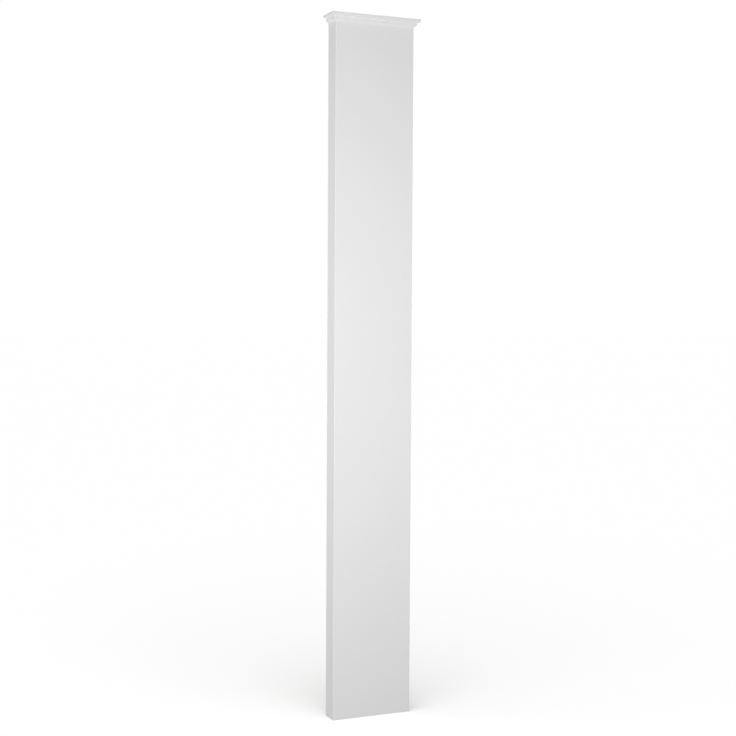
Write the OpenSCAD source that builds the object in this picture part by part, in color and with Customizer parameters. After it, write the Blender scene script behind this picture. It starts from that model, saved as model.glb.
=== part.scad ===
// Smooth wall pilaster, one rigid foam casting: a flat shaft with a small crown moulding
// that turns round its left side, front and right side at the top.
// The flat back lies against the wall in the plane y = 0, the front looks towards -Y and the
// shaft stands up along +Z. The origin is the middle of the back's lower edge.

/* [Shaft] */
// Height from the cut foot to the top of the cap
total_h = 2000; // [600:10:3000]
// Width of the shaft across its front
shaft_w = 240; // [120:5:400]
// Depth of the shaft from the wall to its front
shaft_d = 56; // [25:1:120]
// Radius of the softened front arrises
arris_r = 1.5; // [0.5:0.1:6]

/* [Cap moulding] */
// Height of the plain band at the top of the cap
band_h = 4; // [3:0.5:20]
// Radius of the softened edge at the top of the band
band_r = 1; // [0.2:0.1:2]
// Radius of each of the two arcs of the ogee under the band, the upper one round, the lower hollow
ogee_r = 4.25; // [2:0.25:12]
// Height of the small upright fillet under the ogee
fillet_h = 4; // [1:0.5:12]
// How far the fillet stands out from the shaft
fillet_out = 7.5; // [3:0.5:9]
// Height of the lower hollow, which runs out smoothly into the shaft
hollow_h = 10.5; // [9:0.5:30]

/* [Hidden] */
$fn = 96;
// how far a cutting shape reaches past what it cuts
over = 1;
// how far the band stands out from the shaft
cap_out = fillet_out + 2 * ogee_r;
// heights of the joins between the members of the cap, from the top down
band_low = total_h - band_h;
ogee_mid = band_low - ogee_r;
ogee_low = ogee_mid - ogee_r;
fillet_low = ogee_low - fillet_h;
cap_low = fillet_low - hollow_h;
// radius of the hollow's arc, which leaves the shaft upright and meets the fillet at its lower edge
hollow_r = (fillet_out * fillet_out + hollow_h * hollow_h) / (2 * fillet_out);

// One member of the cap's section, from the middle line out to edge, between two heights.
module member(edge, low, high) {
    translate([0, low]) square([edge, high - low]);
}

// Half of the cap's section, where half_w is the distance from the middle line to the shaft's face.
module cap_half(half_w) {
    face = half_w + cap_out;
    turn = face - ogee_r;
    fillet_face = half_w + fillet_out;
    // band with its softened top edge
    member(face, band_low, total_h - band_r);
    member(face - band_r, band_low, total_h);
    translate([face - band_r, total_h - band_r]) circle(r = band_r);
    // round upper half of the ogee
    member(turn, ogee_mid, band_low);
    intersection() {
        translate([turn, band_low]) circle(r = ogee_r);
        member(face, ogee_mid, band_low);
    }
    // hollow lower half of the ogee
    difference() {
        member(turn, ogee_low, ogee_mid);
        translate([turn, ogee_low]) circle(r = ogee_r);
    }
    member(fillet_face, fillet_low, ogee_low);
    // lower hollow
    difference() {
        member(fillet_face, cap_low, fillet_low);
        translate([half_w + hollow_r, cap_low]) circle(r = hollow_r);
    }
}

// The cap runs across the front and along both sides, and mitres where the runs meet:
// it is what a moulding along X and a moulding along Y have in common.
module cap() {
    depth = shaft_d + cap_out + over;
    width = shaft_w + 2 * (cap_out + over);
    intersection() {
        rotate([90, 0, 0]) linear_extrude(height = depth) {
            cap_half(shaft_w / 2);
            mirror([1, 0]) cap_half(shaft_w / 2);
        }
        translate([-width / 2, 0, 0]) rotate([90, 0, 90]) linear_extrude(height = width)
            mirror([1, 0]) cap_half(shaft_d);
    }
}

// Outline of the shaft, square at the wall and softened at the two front arrises.
module shaft_outline() {
    translate([-shaft_w / 2, arris_r - shaft_d]) square([shaft_w, shaft_d - arris_r]);
    translate([arris_r - shaft_w / 2, -shaft_d]) square([shaft_w - 2 * arris_r, shaft_d]);
    for (side = [-1, 1])
        translate([side * (shaft_w / 2 - arris_r), arris_r - shaft_d]) circle(r = arris_r);
}

module pilaster() {
    color([0.93, 0.93, 0.93]) {
        linear_extrude(height = cap_low) shaft_outline();
        cap();
    }
}

pilaster();
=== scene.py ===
import math

import bmesh
import bpy
from mathutils import Matrix, Vector


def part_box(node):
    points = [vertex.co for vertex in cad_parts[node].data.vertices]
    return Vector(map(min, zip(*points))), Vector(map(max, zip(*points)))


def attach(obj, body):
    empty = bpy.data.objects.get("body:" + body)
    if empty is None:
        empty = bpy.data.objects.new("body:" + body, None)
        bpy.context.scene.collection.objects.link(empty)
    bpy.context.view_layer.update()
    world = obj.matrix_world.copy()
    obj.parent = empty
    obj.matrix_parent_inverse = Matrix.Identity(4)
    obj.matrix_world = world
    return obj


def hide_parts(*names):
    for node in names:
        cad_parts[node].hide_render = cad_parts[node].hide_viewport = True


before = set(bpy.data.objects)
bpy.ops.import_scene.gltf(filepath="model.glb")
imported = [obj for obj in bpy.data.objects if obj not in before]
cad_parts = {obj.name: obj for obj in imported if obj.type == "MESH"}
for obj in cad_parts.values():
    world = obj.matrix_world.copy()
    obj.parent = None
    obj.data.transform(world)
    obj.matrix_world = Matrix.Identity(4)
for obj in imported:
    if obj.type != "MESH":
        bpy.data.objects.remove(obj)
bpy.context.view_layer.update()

# Smooth wall pilaster, cast in rigid foam and primed white. Sizes are in metres. The back is the
# plane y = 0, the front looks towards -Y, and the foot stands at z = 0.
low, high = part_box("pilaster")
middle = (low + high) / 2
nearly = 1e-6   # how close two places must be to count as one

cameraView = {
    "place": (-1.586, -3.661, 1.159),
    "turn": 23.52,   # degrees off straight on, from the left
    "tip": 2.25,     # degrees down
    "lean": 0.30,    # degrees that the uprights lean to the right
    "lens": 67.5,
}


def makeCamera(view):
    turn, tip, lean = (math.radians(view[key]) for key in ("turn", "tip", "lean"))
    forward = Vector((math.sin(turn) * math.cos(tip), math.cos(turn) * math.cos(tip), -math.sin(tip)))
    right = Vector((math.cos(turn), -math.sin(turn), 0))
    up = right.cross(forward)
    side = right * math.cos(lean) + up * math.sin(lean)
    above = up * math.cos(lean) - right * math.sin(lean)
    bpy.ops.object.camera_add()
    camera = bpy.context.object
    camera.data.lens = view["lens"]
    turned = Matrix((side, above, -forward)).transposed().to_4x4()
    camera.matrix_world = Matrix.Translation(view["place"]) @ turned
    bpy.context.scene.camera = camera
    print("camera in place")


pilaster = {
    "bandHeight": 0.004,         # plain band at the top of the cap
    "ogeeRadius": 0.00425,       # each of the ogee's two arcs
    "filletHeight": 0.004,
    "filletOut": 0.0075,
    "hollowHeight": 0.0105,
    "curveSteps": 8,             # flats in each arc of the cap
    "frontCorner": (0.0015, 5),  # radius and segments of each softened edge
    "bandEdge": (0.001, 4),
    "filletEdge": (0.0004, 3),
    "cutEdge": (0.0005, 2),      # back corners and foot
    "rows": 96,
    "columns": 14,
    "ripple": 0.0003,            # unevenness of the cast faces, and how far apart its swells are
    "rippleSpread": 0.2,
    "trueStrip": 0.003,          # strip beside the wall and above the foot that stays dead flat
    "smoothAngle": 40,           # degrees, past which an edge stays crisp
}
capOut = pilaster["filletOut"] + 2 * pilaster["ogeeRadius"]
bandLow = high.z - pilaster["bandHeight"]


def choose(piece, mode, test):
    # in edit mode, selects the vertices, edges or faces that pass the test, and nothing else
    bpy.ops.mesh.select_mode(type=mode)
    bpy.ops.mesh.select_all(action="DESELECT")
    shape = bmesh.from_edit_mesh(piece.data)
    for element in {"VERT": shape.verts, "EDGE": shape.edges, "FACE": shape.faces}[mode]:
        if test(element):
            element.select_set(True)
    shape.select_flush_mode()
    bmesh.update_edit_mesh(piece.data)


def span(edge):
    # how far an edge runs along each axis
    first, second = (v.co for v in edge.verts)
    return Vector(abs(second[axis] - first[axis]) for axis in range(3))


def isLevel(element, height):
    return all(abs(v.co.z - height) < nearly for v in element.verts)


def isOffWall(edge):
    # true unless the whole edge lies on the wall
    return min(v.co.y for v in edge.verts) < high.y - nearly


def capRings(size):
    # (how far in, how far down) of each ring of the cap, counted from the band's lower edge
    steps = size["curveSteps"]
    radius, out, tall = size["ogeeRadius"], size["filletOut"], size["hollowHeight"]
    rings = [(0.0, 0.0)]
    quarter = [math.pi / 2 * (step + 1) / steps for step in range(steps)]
    rings += [(radius * (1 - math.cos(a)), radius * math.sin(a)) for a in quarter]
    rings += [(radius * (1 + math.sin(a)), radius * (2 - math.cos(a))) for a in quarter]
    filletLow = 2 * radius + size["filletHeight"]
    rings.append((2 * radius, filletLow))
    bend = (out * out + tall * tall) / (2 * out)   # the hollow's radius
    opening = math.asin(tall / bend)
    hollow = [opening * (1 - (step + 1) / steps) for step in range(steps)]
    rings += [(capOut - bend * (1 - math.cos(a)), filletLow + tall - bend * math.sin(a)) for a in hollow]
    return rings, bandLow - filletLow


def drawDown(piece, height, drop, inward):
    # the lowest face goes down by drop, and its outline moves in on the three sides that show
    choose(piece, "FACE", lambda f: isLevel(f, height) and f.normal.z < 0)
    bpy.ops.mesh.extrude_region_move(TRANSFORM_OT_translate={"value": (0, 0, -drop)})
    if not inward:
        return
    for isOnSide, move in (
        (lambda place: place.x > 0, (-inward, 0, 0)),
        (lambda place: place.x < 0, (inward, 0, 0)),
        (lambda place: place.y < middle.y, (0, inward, 0)),
    ):
        choose(piece, "VERT", lambda v: abs(v.co.z - height + drop) < nearly and isOnSide(v.co))
        bpy.ops.transform.translate(value=move)


def soften(piece, softness, test):
    radius, segments = softness
    choose(piece, "EDGE", test)
    bpy.ops.mesh.bevel(offset=radius, offset_type="OFFSET", segments=segments, affect="EDGES")


def makePilaster(size):
    bpy.ops.object.select_all(action="DESELECT")
    bpy.ops.mesh.primitive_cube_add(size=1, location=(middle.x, middle.y, (high.z + bandLow) / 2))
    piece = bpy.context.object
    piece.name = "pilasterCasting"
    piece.scale = (high.x - low.x, high.y - low.y, size["bandHeight"])
    bpy.ops.object.transform_apply(location=True, rotation=False, scale=True)
    bpy.ops.object.mode_set(mode="EDIT")

    # the band: front corners first, then the top edge along the three sides that show
    soften(piece, size["frontCorner"], lambda e: span(e).z > nearly and e.verts[0].co.y < middle.y)
    soften(piece, size["bandEdge"], lambda e: isLevel(e, high.z) and isOffWall(e))

    # the cap is drawn down ring by ring, and the shaft follows in one length
    rings, filletLow = capRings(size)
    for (wasIn, wasDown), (nowIn, nowDown) in zip(rings, rings[1:]):
        drawDown(piece, bandLow - wasDown, nowDown - wasDown, nowIn - wasIn)
    capLow = bandLow - rings[-1][1]
    drawDown(piece, capLow, capLow - low.z, 0)
    soften(piece, size["filletEdge"], lambda e: isLevel(e, filletLow) and isOffWall(e))
    soften(piece, size["cutEdge"],
           lambda e: isLevel(e, low.z) or (span(e).z > middle.z and e.verts[0].co.y > high.y - nearly))

    # rows up the shaft and columns across the front and back let the faces swell a little
    choose(piece, "EDGE", lambda e: span(e).z > middle.z)
    bpy.ops.mesh.subdivide(number_cuts=size["rows"])
    choose(piece, "EDGE", lambda e: span(e).x > high.x)
    bpy.ops.mesh.subdivide(number_cuts=size["columns"])
    bpy.ops.object.mode_set(mode="OBJECT")
    print("pilaster drawn:", len(piece.data.polygons), "faces")

    # castings are never dead flat: slow swells on the shaft's faces, none where it meets others
    shows = piece.vertex_groups.new(name="castFaces")
    strip = size["trueStrip"]
    shows.add([v.index for v in piece.data.vertices
               if v.co.y < high.y - strip and low.z + strip < v.co.z < capLow], 1, "REPLACE")
    swell = bpy.data.textures.new("slowSwell", "CLOUDS")
    swell.noise_scale = size["rippleSpread"]
    swell.noise_depth = 1
    push = piece.modifiers.new("castUnevenness", "DISPLACE")
    push.texture = swell
    push.texture_coords = "LOCAL"
    push.vertex_group = shows.name
    push.mid_level = 0.5
    push.strength = size["ripple"]
    bpy.ops.object.modifier_apply(modifier=push.name)
    piece.vertex_groups.clear()

    # broad faces keep their own normals, so only the narrow softened edges turn the light
    bpy.ops.object.shade_smooth_by_angle(angle=math.radians(size["smoothAngle"]))
    even = piece.modifiers.new("evenShading", "WEIGHTED_NORMAL")
    even.keep_sharp = True
    bpy.ops.object.modifier_apply(modifier=even.name)
    print("pilaster finished")
    return piece


class Wire:
    # a shader socket that adds, subtracts and multiplies like a number
    def __init__(self, net, socket):
        self.net, self.socket = net, socket

    def __add__(self, other):
        return self.net.maths("ADD", self, other)

    def __sub__(self, other):
        return self.net.maths("SUBTRACT", self, other)

    def __rsub__(self, other):
        return self.net.maths("SUBTRACT", other, self)

    def __mul__(self, other):
        return self.net.maths("MULTIPLY", self, other)

    __radd__, __rmul__ = __add__, __mul__


class Net:
    # the node tree of one material, or of the world
    def __init__(self, owner):
        owner.use_nodes = True
        self.nodes, self.links = owner.node_tree.nodes, owner.node_tree.links

    def feed(self, node, inputs):
        for key, value in inputs.items():
            if isinstance(value, Wire):
                self.links.new(value.socket, node.inputs[key])
            else:
                node.inputs[key].default_value = value

    def node(self, kind, settings=None, inputs=None, output=0):
        made = self.nodes.new(kind)
        for key, value in (settings or {}).items():
            setattr(made, key, value)
        self.feed(made, inputs or {})
        return Wire(self, made.outputs[output])

    def maths(self, operation, *values):
        return self.node("ShaderNodeMath", {"operation": operation}, dict(enumerate(values)))

    def noise(self, place, scale, detail, distortion=0.0):
        return self.node("ShaderNodeTexNoise", {}, {
            "Vector": place, "Scale": scale, "Detail": detail, "Distortion": distortion})

    def ramp(self, value, start, end):
        # 0 at start and 1 at end, easing at both
        return self.node("ShaderNodeMapRange", {"interpolation_type": "SMOOTHSTEP"}, {
            "Value": value, "From Min": start, "From Max": end})

    def blend(self, share, first, second):
        # colours are (red, green, blue), or wires
        first, second = (c if isinstance(c, Wire) else (*c, 1) for c in (first, second))
        return self.node("ShaderNodeMix", {"data_type": "RGBA"}, {0: share, 6: first, 7: second}, output=2)


# A pattern is its features per metre, its detail and how far it is stirred. A relief is in
# millimetres, and a reach gives the two places between which something fades, in metres.
primedFoam = {
    "primer": ((0.795, 0.795, 0.795), (0.825, 0.825, 0.825)),
    "primerRoughness": (0.58, 0.66),
    "cloud": (4, 3),             # broad and fine cloudiness of the primer's white
    "mottle": (60, 3),
    "cloudShare": 0.6,
    "peel": (260, 2),            # soft pebbling of the sprayed skin
    "peelRelief": 0.09,
    "grain": (1500, 2),
    "grainRelief": 0.012,
    "foam": ((0.70, 0.68, 0.61), (0.78, 0.765, 0.70)),
    "foamRoughness": 0.88,
    "flow": (9, 5, 1.2),         # slow drift of the foam's colour
    "crumb": (420, 4),
    "crumbRelief": 0.06,
    "poresPerMetre": 700,
    "poreShadeColour": (0.46, 0.44, 0.38),
    "poreShadeShare": 0.35,           # how far a pore darkens towards its floor, as painted shade in the pit
    "poreRim": (0.34, 0.12),     # from a pore's rim to its floor, as shares of a cell
    "poreRelief": 0.1,
    "sawStretch": (900, 25, 25),   # lines left across the foot by the saw
    "saw": (1, 3),
    "sawRelief": 0.12,
    "oversprayReach": (0.004, 0.016),   # in from the back's edges, where the primer thins out
    "ragged": (90, 4),
    "raggedness": 0.014,         # how far the primer's margin wanders, in metres
    "cutReach": (0.0004, 0.0001),   # in from the wall and the foot, where a cut face begins
}


def makePrimedFoam(finish):
    material = bpy.data.materials.new("primedFoam")
    net = Net(material)
    place = net.node("ShaderNodeTexCoord", output="Object")
    x, y, z = (net.node("ShaderNodeSeparateXYZ", {}, {0: place}, output=axis) for axis in range(3))

    # sprayed primer: almost even, with a faint cloudiness and a pebbled skin
    cloud = net.noise(place, *finish["cloud"])
    mottle = net.noise(place, *finish["mottle"])
    cloudShare = finish["cloudShare"]
    primer = net.blend(cloud * cloudShare + mottle * (1 - cloudShare), *finish["primer"])
    smoothest, roughest = finish["primerRoughness"]
    primerRoughness = mottle * (roughest - smoothest) + smoothest
    peel = net.noise(place, *finish["peel"])
    grain = net.noise(place, *finish["grain"])
    primerHeight = peel * finish["peelRelief"] + grain * finish["grainRelief"]

    # bare foam on the back and the sawn foot: creamy, open-pored and dull
    flow = net.noise(place, *finish["flow"])
    cell = net.node("ShaderNodeTexVoronoi", {}, {"Vector": place, "Scale": finish["poresPerMetre"]})
    pore = net.ramp(cell, *finish["poreRim"])
    # pores darken from rim to floor: painted shade in the pits, on top of their real dent in the bump
    foam = net.blend(pore * finish["poreShadeShare"], net.blend(flow, *finish["foam"]), finish["poreShadeColour"])
    crumb = net.noise(place, *finish["crumb"])
    along = net.node("ShaderNodeVectorMath", {"operation": "MULTIPLY"}, {
        0: place, 1: finish["sawStretch"]})
    sawLine = net.noise(along, *finish["saw"])

    # primer wraps a ragged few millimetres round on to the back, and stops at the foot
    wander = finish["raggedness"]
    cutStart, cutEnd = finish["cutReach"]
    inset = high.x - capOut - net.maths("ABSOLUTE", x)
    inset = net.maths("MINIMUM", inset, net.maths("MINIMUM", z, high.z - z))
    ragged = inset + net.noise(place, *finish["ragged"]) * wander - wander / 2
    onBack = net.ramp(y, high.y - cutStart, high.y - cutEnd) * net.ramp(ragged, *finish["oversprayReach"])
    onFoot = net.ramp(z, low.z + cutStart, low.z + cutEnd)
    bare = net.maths("MAXIMUM", onBack, onFoot)
    sawHeight = sawLine * onFoot * finish["sawRelief"]
    foamHeight = crumb * finish["crumbRelief"] - pore * finish["poreRelief"] + sawHeight

    # heights are in millimetres, so the bump's distance is one millimetre
    height = primerHeight * (1 - bare) + foamHeight * bare
    bump = net.node("ShaderNodeBump", {}, {"Strength": 1, "Distance": 0.001, "Height": height})
    net.feed(net.nodes["Principled BSDF"], {
        "Base Color": net.blend(bare, primer, foam),
        "Roughness": primerRoughness * (1 - bare) + bare * finish["foamRoughness"],
        "Normal": bump,
    })
    print("primed foam ready")
    return material


studio = {
    "ambient": 0.377,
    "backdrop": 1.0,
    "lamps": {   # place, width and power of each soft round lamp
        "keyLamp": ((-0.62, -2.16, 1.08), 0.9, 31.8),
        "leftLamp": ((-2.3, 0.25, 1.1), 1.2, 19.9),
        "rightLamp": ((2.3, 0.25, 1.1), 1.2, 11),
        "rearLamp": ((0.7, 2.6, 1.2), 1.2, 30),
        "topLamp": ((0.2, 0.6, 4.2), 1.2, 34),
    },
    "floorSun": 2.6,
    "floorSunTowards": (0.3, 0.45, -1.0),
    "floorSunAngle": 70,       # a wide sun, so that the foot's shadow is soft
    "floorWhite": 0.9,
    "floorRoughness": 0.9,
    "floorSize": 120,
}


def makeFloor(light):
    bpy.ops.mesh.primitive_plane_add(size=light["floorSize"])
    floor = bpy.context.object
    floor.name = "floor"
    floor.visible_diffuse = False   # the floor shows and takes shadows, but throws no light up
    floor.visible_glossy = False
    paper = bpy.data.materials.new("paleFloor")
    white = light["floorWhite"]
    net = Net(paper)
    net.feed(net.nodes["Principled BSDF"], {
        "Base Color": (white, white, white, 1),
        "Roughness": light["floorRoughness"],
        "Specular IOR Level": 0,
    })
    floor.data.materials.append(paper)
    return floor


def aimLight(kind, name, place, towards, lit):
    # a light lights only the one object that it is meant for
    bpy.ops.object.light_add(type=kind, location=place)
    lamp = bpy.context.object
    lamp.name = name
    lamp.rotation_euler = Vector(towards).to_track_quat("-Z", "Y").to_euler()
    lamp.light_linking.receiver_collection = lit
    return lamp.data


def makeStudio(light, piece):
    scene = bpy.context.scene
    scene.view_settings.view_transform = "Standard"
    litBySun = bpy.data.collections.new("litBySun")
    litBySun.objects.link(makeFloor(light))
    litByLamps = bpy.data.collections.new("litByLamps")
    litByLamps.objects.link(piece)

    sun = aimLight("SUN", "floorSun", (0, 0, 0), light["floorSunTowards"], litBySun)
    sun.energy = light["floorSun"]
    sun.angle = math.radians(light["floorSunAngle"])
    for name, (place, width, power) in light["lamps"].items():
        # each lamp looks level at the pilaster, or down on its top
        target = Vector((0, 0, min(place[2], high.z)))
        lamp = aimLight("AREA", name, place, target - Vector(place), litByLamps)
        lamp.shape = "DISK"
        lamp.size = width
        lamp.energy = power

    # the backdrop is plain white to look at, and gives a softer, greyer light
    scene.world = bpy.data.worlds.new("studioWhite")
    net = Net(scene.world)
    sky = net.nodes["Background"]
    net.feed(sky, {"Color": (1, 1, 1, 1), "Strength": light["ambient"]})
    backdrop = net.node("ShaderNodeBackground", {}, {"Color": (1, 1, 1, 1), "Strength": light["backdrop"]})
    seen = net.node("ShaderNodeLightPath")
    mixed = net.node("ShaderNodeMixShader", {}, {0: seen, 1: Wire(net, sky.outputs[0]), 2: backdrop})
    net.feed(net.nodes["World Output"], {0: mixed})
    print("studio lit")


makeCamera(cameraView)
casting = makePilaster(pilaster)
casting.data.materials.append(makePrimedFoam(primedFoam))
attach(casting, "root")
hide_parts("pilaster")
makeStudio(studio, casting)
